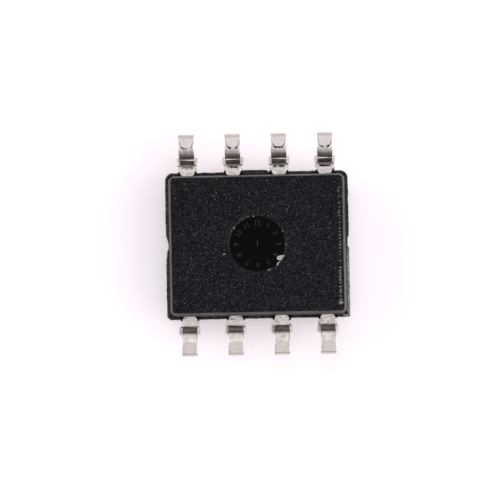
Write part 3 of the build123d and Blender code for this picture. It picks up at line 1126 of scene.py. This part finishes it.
def stains_and_painted_shade(settings, path, across, distance, far, seed):
    """How dark the plating is painted across the strip at a place, from 0 to 1: dark lines at the toe,
    the near row's foot a little darker with spots at its edges, and painted shade in the foot's U crease
    and on the riser, which faces the black body.
    """
    jitter = 0.010 * MM * rough((across, distance, seed * MM), 0.05 * MM, 4.0)
    to_toe = path.length - distance + jitter
    inside = 1 - smooth_step(abs(across), 0.190 * MM, 0.205 * MM)
    riser = smooth_step(distance + jitter, path.riser_start - 0.04 * MM, path.riser_start + 0.02 * MM)
    # Painted shade on the riser, which faces the black body
    if far:
        toe_line = 0.36 * hump(to_toe - 0.050 * MM, 0.010 * MM)
        toe_band = 0.18 * (1 - smooth_step(to_toe, 0.040 * MM, 0.050 * MM))
        low = tool_shelf(path) - 0.06 * MM
        riser *= 1 - smooth_step(distance + 3 * jitter, low, low + 0.05 * MM)
        return max(toe_line, toe_band, 0.90 * riser * inside)
    toe_line = 0.55 * (1 - smooth_step(to_toe, 0.012 * MM, 0.028 * MM))
    riser_end = path.riser_start + 0.43 * MM
    riser *= 1 - smooth_step(distance + 3 * jitter, riser_end - 0.06 * MM, riser_end + 0.04 * MM)
    beyond = distance - path.foot_start - foot_edge(settings, across, far) + jitter
    # Painted shade in the foot's U crease
    arch = 0.26 * hump(beyond, 0.014 * MM)
    foot = 0.10 * smooth_step(beyond, -0.010 * MM, 0.010 * MM)
    spots = rough((across, distance, seed * MM), 0.030 * MM, 7.0) - 0.25
    edge = smooth_step(across, 0.13 * MM, 0.19 * MM) * smooth_step(spots, 0.0, 0.12)
    on_foot = smooth_step(beyond, 0.0, 0.02 * MM)
    return max(toe_line, arch, foot, 0.8 * edge * on_foot, 0.90 * riser * inside)


def lead_middle(number):
    """Where along its row a lead's middle is, before the row is turned into place."""
    return ((number - 1) % LEADS_PER_SIDE - (LEADS_PER_SIDE - 1) / 2) * PITCH


def make_lead(settings, material, number):
    """One bent strip from inside the body to its sheared toe, with what tools left on it and its painted
    shade.
    """
    outer = number % LEADS_PER_SIDE in (0, 1)
    far = number <= LEADS_PER_SIDE
    middle = lead_middle(number)
    outwards = (-1 if middle > 0 else 1) if outer else 0
    path = StripPath(settings, PAD_END if outer else FINGER_END)
    turn = Matrix.Identity(3) if far else Matrix.Rotation(pi, 3, "Z")
    steps = (26, 9)
    upper, lower = 0.022 * MM, 0.012 * MM
    shell = Shell()
    strip, mark, sheared, shade_and_marks = [], [], [], []

    def section(distance):
        """One loop round the strip, with the marks that tools left on it and its painted shade."""
        (out, up), slope = path.at(distance)
        low, high = lead_edges(settings, path, distance, -outwards, number)
        half = ((high - low) / 2, settings.thickness / 2)
        points = []
        for p in outline(half, (lower, lower, upper, upper), steps, crowd=0.6):
            across = p.x + (low + high) / 2
            height = p.y
            visible = smooth_step(height, 0.2 * half[1], 0.9 * half[1])
            height += visible * relief(settings, path, across, distance, far, number)
            cut = (height + half[1]) * tan(settings.shear)
            cut *= smooth_step(distance, path.foot_start, path.length)
            place = (across, out - height * sin(slope) - cut, up + height * cos(slope))
            points.append(turn @ (Vector(place) + Vector((middle, 0, 0))))
            beyond = distance - path.foot_start - foot_edge(settings, across, far)
            strip.append((across / MM, (distance - path.shoulder_end) / MM, number))
            mark.append(beyond / MM if visible > 0.5 else 0.2)
            # Tool marks, with painted shade in the foot's crease and on the riser
            dark = stains_and_painted_shade(settings, path, across, distance, far, number)
            shade_and_marks.append(dark if visible > 0.5 else 0.0)
            sheared.append(0.0)
        return points

    marks = stations(settings, path, outer, number)
    first = shell.loop(section(marks[0]))
    last = shell.skin(first, [section(m) for m in marks[1:]])
    shell.cap(first, *steps)
    inner_count = len(shell.points)
    shell.cap(last, *steps)
    rest = len(shell.points) - len(strip)
    strip += [strip[i % len(first)] for i in range(rest)]
    mark += [0.2] * rest
    shade_and_marks += [0.0] * rest
    sheared += [0.0] * (inner_count - len(sheared)) + [1.0] * (len(shell.points) - inner_count)
    for i in last:
        sheared[i] = 0.6
    mesh = shell.mesh(f"gull_wing_lead_{number}")
    point_places(mesh, "strip", strip)
    point_values(mesh, "mark", mark)
    point_values(mesh, "shade_and_marks", shade_and_marks)
    # Painted shade in the foot's crease and a dark line at the shoulder's bend, shown on the far row
    # only
    point_values(mesh, "far_row_shade_and_marks", [1.0 if far else 0.0] * len(mark))
    point_values(mesh, "sheared", sheared)
    piece = add_piece(f"gull_wing_lead_{number}", mesh, material)
    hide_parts(f"lead_{number}")
    return piece


def make_gussets(settings, material):
    """Resin that bled along both sides of each lead, a little over its edges."""
    top = LEAD_BOTTOM + settings.thickness + 0.010 * MM
    bottom = LEAD_BOTTOM + LEDGE_INSET
    half = settings.width / 2
    work = bmesh.new()
    for number in range(1, 2 * LEADS_PER_SIDE + 1):
        middle = lead_middle(number)
        turn = 0 if number <= LEADS_PER_SIDE else pi
        for side in (-1, 1):
            vary = 1 + 0.25 * rough((number, side, 0), 0.37)
            plan = (
                (half - 0.080 * MM * vary, -0.02 * MM),
                (half - 0.062 * MM * vary, 0.010 * MM),
                (half - 0.034 * MM, 0.040 * MM),
                (half - 0.010 * MM, 0.085 * MM * vary),
                (half + 0.010 * MM, GUSSET_REACH * 0.80 * vary),
                (half + 0.032 * MM, GUSSET_REACH * 0.72 * vary),
                (half + 0.058 * MM, 0.060 * MM),
                (half + 0.110 * MM * vary, -0.02 * MM),
            )
            rings = []
            for height, share in ((top, 0.0), (bottom, 1.0)):
                slump = 0.006 * MM * (1 - share)
                rings.append(
                    [
                        work.verts.new((side * x, HALF_WIDTH + y, height - slump * (y > 0.1 * MM)))
                        for x, y in plan
                    ]
                )
            count = len(plan)
            made = list(rings[0]) + list(rings[1])
            work.faces.new(rings[0])
            work.faces.new(rings[1][::-1])
            for i in range(count):
                j = (i + 1) % count
                work.faces.new((rings[0][i], rings[0][j], rings[1][j], rings[1][i]))
            spin = Matrix.Rotation(turn, 4, "Z") @ Matrix.Translation((middle, 0, 0))
            bmesh.ops.transform(work, matrix=spin, verts=made)
    bmesh.ops.recalc_face_normals(work, faces=work.faces)
    bmesh.ops.bevel(
        work,
        geom=work.edges[:],
        offset=0.006 * MM,
        segments=2,
        profile=0.6,
        affect="EDGES",
    )
    bmesh.ops.triangulate(work, faces=[f for f in work.faces if len(f.verts) > 4])
    bmesh.ops.subdivide_edges(work, edges=work.edges[:], cuts=1, use_grid_fill=True)
    for vertex in work.verts:
        lift = rough(vertex.co, 0.05 * MM, 8.0)
        vertex.co += Vector((lift, rough(vertex.co, 0.06 * MM, 1.0), 0.5 * lift)) * 0.004 * MM
    mesh = bpy.data.meshes.new("lead_gussets")
    work.to_mesh(mesh)
    work.free()
    point_values(mesh, "polish", [0.25] * len(mesh.vertices))
    point_values(mesh, "pale", [0.0] * len(mesh.vertices))
    return add_piece("lead_gussets", mesh, material, sharp=60)


# ---- stage --------------------------------------------------------------------------------


def paper(settings):
    """Smooth white card: flat and even, with the faintest cloud of fibre."""
    material, tree = new_material("white_card")
    cloud = add_node(tree, "TexNoise", {
        "Vector": add_node(tree, "TexCoord", output="Object"), "Scale": per(0.6 * MM), "Detail": 3.0
    }, output="Fac")
    shade = opaque(settings.paper, 0.985)
    base = add_node(
        tree, "Mix", {0: cloud, 6: shade, 7: opaque(settings.paper)}, output=2, data_type="RGBA"
    )
    card = add_node(tree, "BsdfPrincipled", {
        "Base Color": base, "Roughness": 0.9, "Specular IOR Level": 0.1
    })
    rays = add_node(tree, "LightPath").node.outputs
    seen = add_node(
        tree, "Math", {0: rays["Is Camera Ray"], 1: rays["Is Glossy Ray"]}, operation="MAXIMUM"
    )
    seen = add_node(tree, "Math", {0: seen, 1: rays["Is Transmission Ray"]}, operation="MAXIMUM")
    lift = add_node(tree, "Math", {0: seen, 1: settings.glow}, operation="MULTIPLY")
    glow = add_node(tree, "Emission", {"Color": opaque(settings.paper), "Strength": lift})
    both = add_node(tree, "AddShader", {0: card, 1: glow})
    add_node(tree, "OutputMaterial", [both])
    return material


def make_sheet(settings):
    """The card that the package lies on, far larger than it."""
    work = bmesh.new()
    bmesh.ops.create_circle(work, cap_ends=True, segments=96, radius=2.0)
    mesh = bpy.data.meshes.new("card")
    work.to_mesh(mesh)
    work.free()
    mesh.materials.append(paper(settings))
    sheet = bpy.data.objects.new("card", mesh)
    bpy.context.scene.collection.objects.link(sheet)


# Soft boxes: name, degrees from straight above, compass turn from +X, half angle, brightness
SOFT_BOXES = (
    ("right", 70, 0, 40, 3.1),
    ("left", 72, 163, 40, 3.4),
    ("near right", 52, 305, 26, 1.8),
    ("right above", 36, 350, 20, 1.7),
    ("above", 0, 0, 36, 1.4),
    ("far", 41, 90, 33, 1.0),
    ("far low", 74, 90, 30, 1.0),
    ("near", 42, 270, 24, 0.3),
)


def make_sky(settings):
    """A tent of soft boxes, brightest low on the left and right, and dark where the camera is."""
    world = bpy.data.worlds.new("light_tent")
    bpy.context.scene.world = world
    world.use_nodes = True
    tree = world.node_tree
    tree.nodes.clear()
    direction = add_node(tree, "TexCoord", output="Generated")
    height = add_node(tree, "SeparateXYZ", {0: direction}, output="Z")
    light = settings.fill
    for name, lean, turn, half_angle, brightness in SOFT_BOXES:
        lean, turn = radians(lean), radians(turn)
        towards = (sin(lean) * cos(turn), sin(lean) * sin(turn), cos(lean))
        near = add_node(tree, "VectorMath", {
            0: direction, 1: towards
        }, output="Value", operation="DOT_PRODUCT", label=name)
        box = add_node(tree, "MapRange", {
            "Value": near,
            "From Min": cos(radians(half_angle)),
            "From Max": 1.0,
            "To Min": 0.0,
            "To Max": brightness * settings.light,
        }, output="Result", interpolation_type="SMOOTHSTEP")
        light = add_node(tree, "Math", {0: light, 1: box}, operation="ADD")
    camera = add_node(tree, "MapRange", [height, cos(radians(8)), cos(radians(5)), 1.0, 0.05])
    strength = add_node(tree, "Math", {0: light, 1: camera}, operation="MULTIPLY")
    background = add_node(tree, "Background", {"Strength": strength})
    add_node(tree, "OutputWorld", {"Surface": background})


def make_camera(settings):
    """A long lens almost straight above, turned by the picture's roll."""
    aim = Vector((-0.205, -0.16, 1.45)) * MM
    towards = Vector((sin(settings.sideways), -sin(settings.tilt), cos(settings.tilt))).normalized()
    data = bpy.data.cameras.new("camera")
    data.lens = settings.lens
    data.clip_start = 1 * MM
    data.clip_end = 10
    camera = bpy.data.objects.new("camera", data)
    bpy.context.scene.collection.objects.link(camera)
    camera.location = aim + towards * settings.distance
    right = Vector((1, 0, 0)) - towards * towards.x
    right.normalize()
    up = towards.cross(right)
    facing = Matrix((right, up, towards)).transposed()
    facing = facing @ Matrix.Rotation(-settings.roll, 3, "Z")
    camera.rotation_euler = facing.to_euler()
    bpy.context.scene.camera = camera


# ---- operators ----------------------------------------------------------------------------


class PACKAGE_OT_moulded_body(bpy.types.Operator):
    """Build the moulded body"""

    bl_idname = "package.moulded_body"
    bl_label = "Moulded body"

    def execute(self, context):
        make_body(context.scene.package.body)
        return {"FINISHED"}


class PACKAGE_OT_figures(bpy.types.Operator):
    """Build the plain figures on the ejector mark"""

    bl_idname = "package.figures"
    bl_label = "Figures"

    def execute(self, context):
        make_figures(context.scene.package.body)
        return {"FINISHED"}


class PACKAGE_OT_shards(bpy.types.Operator):
    """Build the breaks in the ejector mark's rim"""

    bl_idname = "package.shards"
    bl_label = "Rim breaks"

    def execute(self, context):
        make_shards(context.scene.package.body)
        return {"FINISHED"}


class PACKAGE_OT_gussets(bpy.types.Operator):
    """Build the resin beside the leads, of the moulded body's material"""

    bl_idname = "package.gussets"
    bl_label = "Resin at the leads"

    def execute(self, context):
        make_gussets(context.scene.package.leads, bpy.data.materials["moulded_epoxy"])
        return {"FINISHED"}


class PACKAGE_OT_leads(bpy.types.Operator):
    """Build the eight gull-wing leads"""

    bl_idname = "package.leads"
    bl_label = "Leads"

    def execute(self, context):
        settings = context.scene.package.leads
        plating = matt_tin(settings)
        for number in range(1, 2 * LEADS_PER_SIDE + 1):
            make_lead(settings, plating, number)
        return {"FINISHED"}


class PACKAGE_OT_inside(bpy.types.Operator):
    """Finish the paddle, glue, chip and bond wires inside the body"""

    bl_idname = "package.inside"
    bl_label = "Inside pieces"

    def execute(self, context):
        gold = drawn_gold()
        finishes = {
            "die_paddle": rolled_copper(),
            "die_attach": silver_glue(),
            "silicon_die": passivated_silicon(),
        }
        finishes |= {f"bond_wire_{n}": gold for n in range(1, 2 * LEADS_PER_SIDE + 1)}
        for node, finish in finishes.items():
            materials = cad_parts[node].data.materials
            materials.clear()
            materials.append(finish)
        return {"FINISHED"}


class PACKAGE_OT_stage(bpy.types.Operator):
    """Lay the sheet, light it and place the camera"""

    bl_idname = "package.stage"
    bl_label = "Stage"

    def execute(self, context):
        settings = context.scene.package.stage
        make_sheet(settings)
        make_sky(settings)
        make_camera(settings)
        context.scene.view_settings.view_transform = "Standard"
        return {"FINISHED"}


# ---- panel and registration ---------------------------------------------------------------


class PACKAGE_PT_sidebar(bpy.types.Panel):
    """Settings and steps of the package"""

    bl_label = "Small-outline package"
    bl_idname = "PACKAGE_PT_sidebar"
    bl_space_type = "VIEW_3D"
    bl_region_type = "UI"
    bl_category = "Package"

    def draw(self, context):
        settings = context.scene.package
        steps = {
            "package.moulded_body": settings.body,
            "package.figures": None,
            "package.shards": None,
            "package.gussets": None,
            "package.leads": settings.leads,
            "package.inside": None,
            "package.stage": settings.stage,
        }
        for step, group in steps.items():
            self.layout.operator(step)
            if group:
                for name in group.bl_rna.properties.keys():
                    if name not in ("rna_type", "name"):
                        self.layout.prop(group, name)


CLASSES = (
    BodySettings,
    LeadSettings,
    StageSettings,
    PackageSettings,
    PACKAGE_OT_moulded_body,
    PACKAGE_OT_figures,
    PACKAGE_OT_shards,
    PACKAGE_OT_gussets,
    PACKAGE_OT_leads,
    PACKAGE_OT_inside,
    PACKAGE_OT_stage,
    PACKAGE_PT_sidebar,
)


def register():
    for made in CLASSES:
        bpy.utils.register_class(made)
    bpy.types.Scene.package = PointerProperty(type=PackageSettings)


def unregister():
    del bpy.types.Scene.package
    for made in reversed(CLASSES):
        bpy.utils.unregister_class(made)


def main():
    register()
    bpy.ops.package.stage()
    bpy.ops.package.moulded_body()
    bpy.ops.package.figures()
    bpy.ops.package.shards()
    bpy.ops.package.gussets()
    bpy.ops.package.leads()
    bpy.ops.package.inside()


if __name__ == "__main__":
    main()
